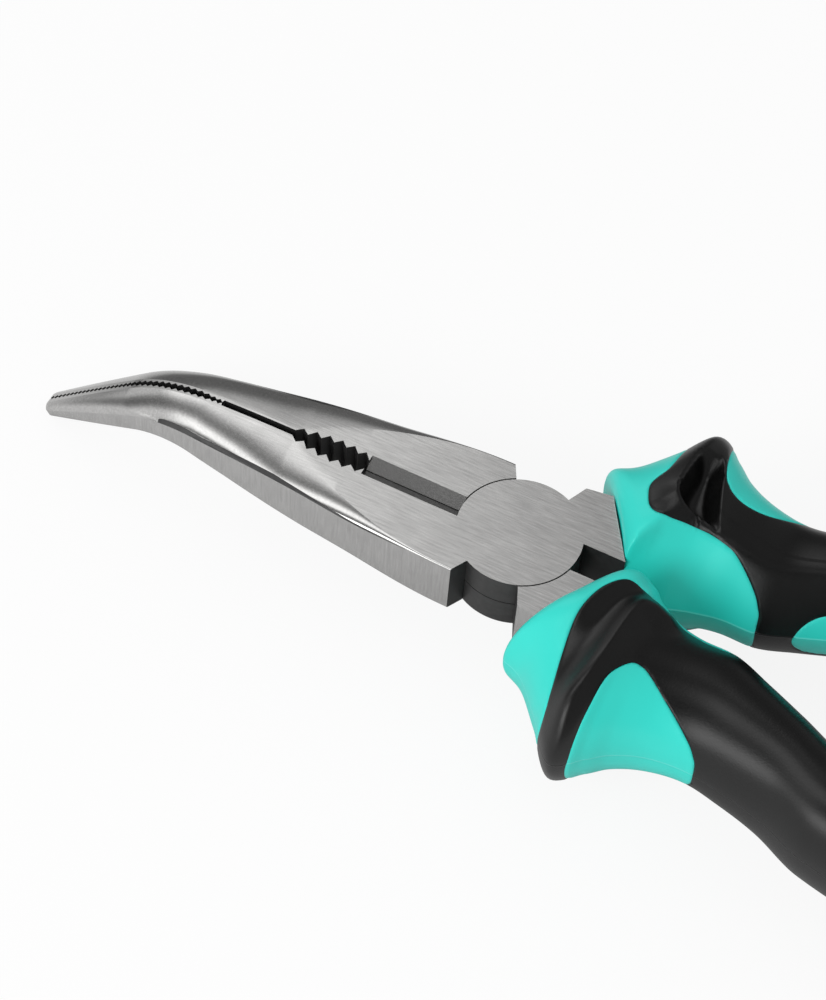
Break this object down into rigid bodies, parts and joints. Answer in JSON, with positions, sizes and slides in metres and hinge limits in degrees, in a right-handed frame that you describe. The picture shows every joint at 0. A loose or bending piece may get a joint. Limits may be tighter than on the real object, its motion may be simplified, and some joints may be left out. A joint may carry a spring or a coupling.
{
  "type": "bent needle nose pliers",
  "caption": "Bent needle nose pliers with a lap joint, toothed tip, pipe grip, side cutter and two-tone moulded grips.",
  "frame": {"origin": "on the pivot axis, at the top face of the round lap joint", "axes": "+X from the jaws to the handles, +Y across the jaws, +Z along the pivot axis out of the top face"},
  "size_m": [0.2033, 0.0648, 0.0303],
  "materials": {
    "forged_steel": "ground and brushed, polished on the nose",
    "rivet_steel": "ground flush",
    "grip_plastic": "satin mint",
    "grip_rubber": "fine matt black"
  },
  "bodies": {
    "top": {"top_half": "forged_steel", "pivot_rivet": "rivet_steel", "top_grip_core": "grip_plastic", "top_grip_skin": "grip_rubber"},
    "bottom": {"bottom_half": "forged_steel", "bottom_grip_core": "grip_plastic", "bottom_grip_skin": "grip_rubber"}
  },
  "joints": [
    {"name": "pivot", "type": "hinge", "parent": "top", "child": "bottom", "pos_m": [0, 0, 0], "axis": [0, 0, -1], "range_deg": [0, 50]}
  ]
}
